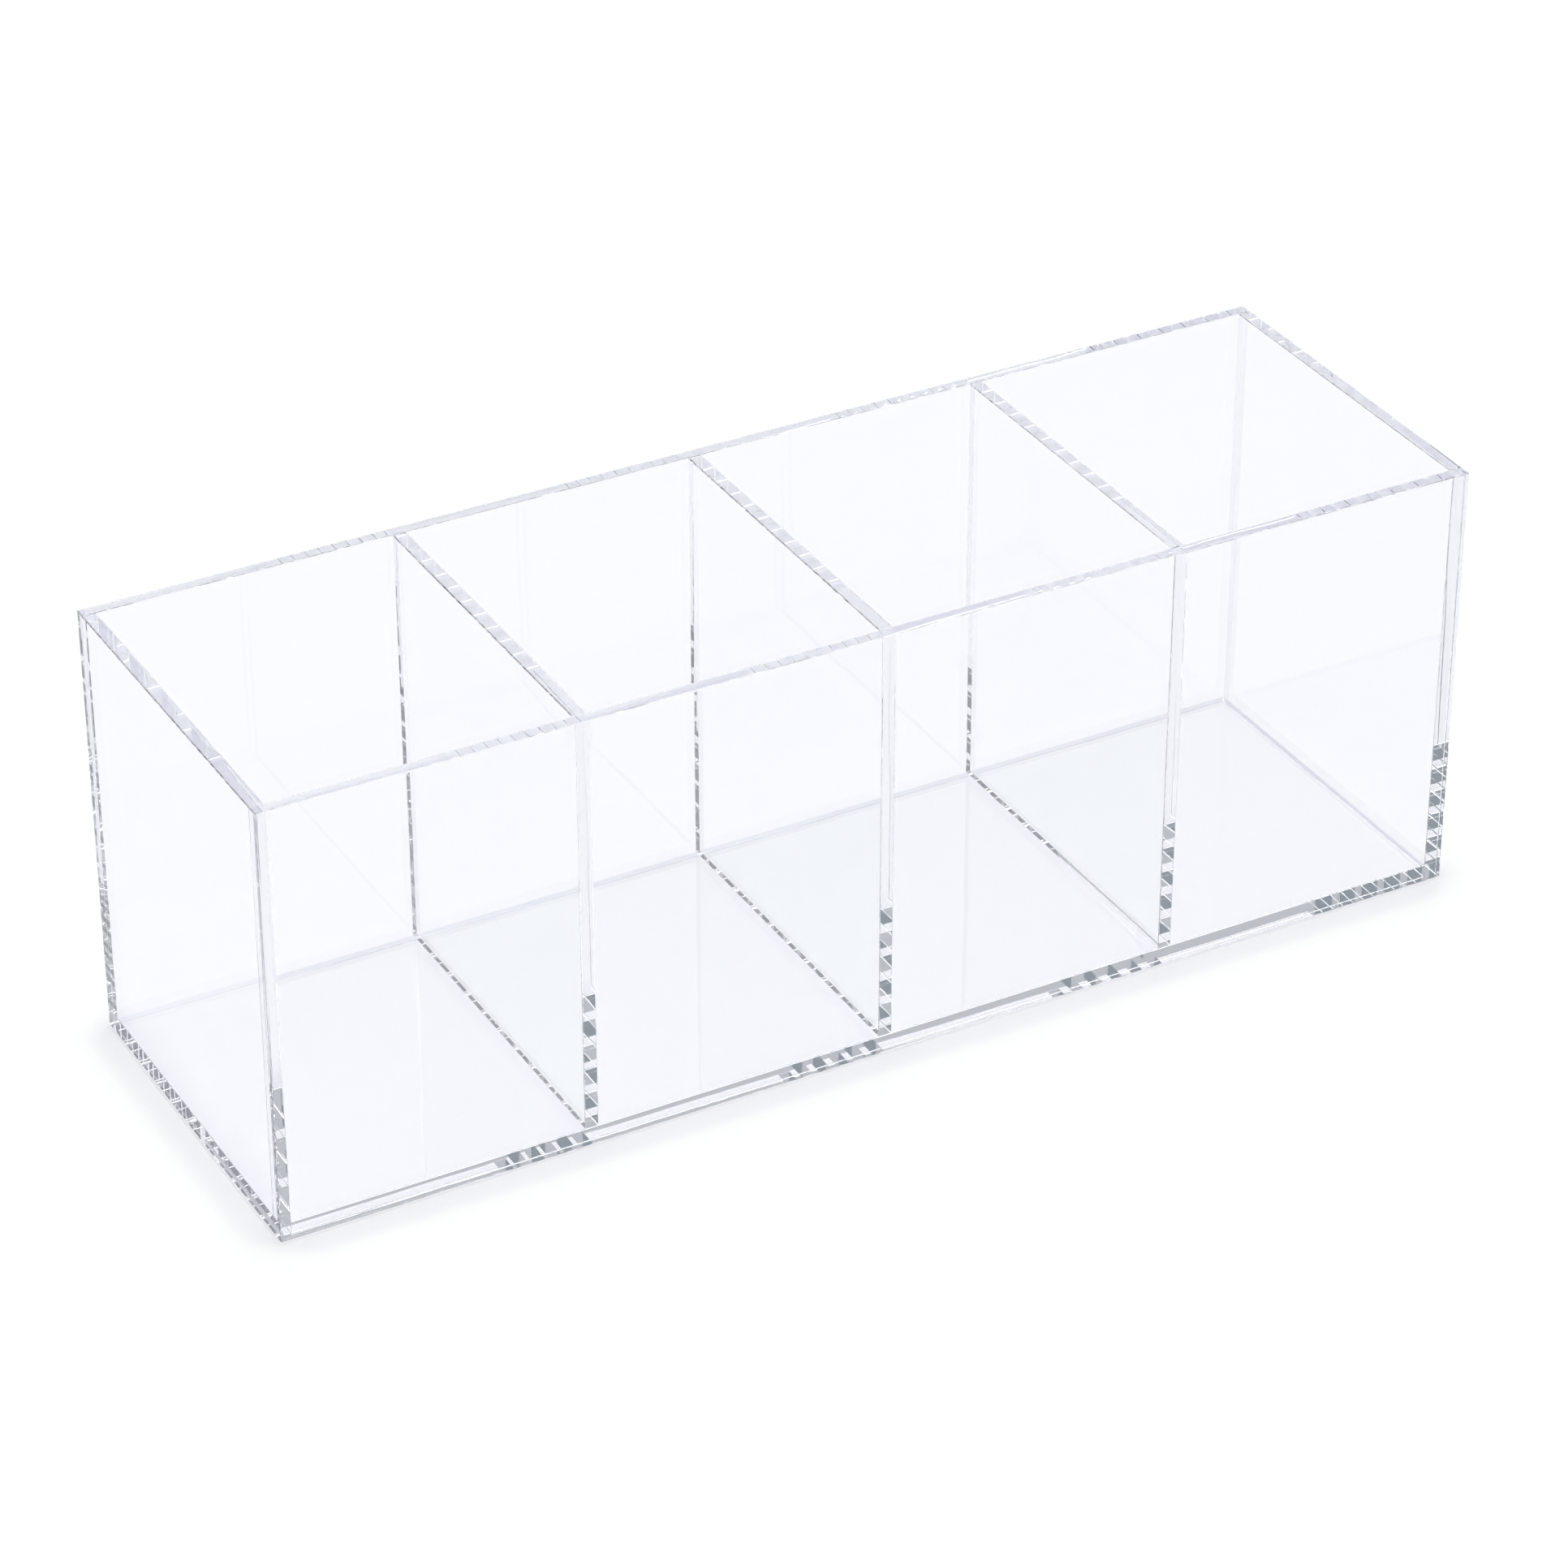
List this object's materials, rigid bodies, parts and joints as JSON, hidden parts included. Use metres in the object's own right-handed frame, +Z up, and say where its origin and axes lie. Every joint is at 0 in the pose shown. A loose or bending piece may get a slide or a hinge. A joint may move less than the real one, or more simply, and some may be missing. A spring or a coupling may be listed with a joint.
{
  "type": "compartment organizer box",
  "caption": "Clear acrylic organizer box with an open top and equal compartments in one row, for small things on a vanity, shelf or desk.",
  "frame": {"origin": "middle of the underside, on the surface that the box stands on", "axes": "+X along the row of compartments, to the right seen from the front; +Y from the front to the back; +Z up"},
  "size_m": [0.27, 0.085, 0.098],
  "materials": {
    "clear_acrylic": "clear cast acrylic sheet, polished faces and polished edges"
  },
  "bodies": {
    "root": {"front_panel": "clear_acrylic", "back_panel": "clear_acrylic", "left_end_panel": "clear_acrylic", "right_end_panel": "clear_acrylic", "base_panel": "clear_acrylic", "left_divider": "clear_acrylic", "middle_divider": "clear_acrylic", "right_divider": "clear_acrylic"}
  },
  "joints": []
}
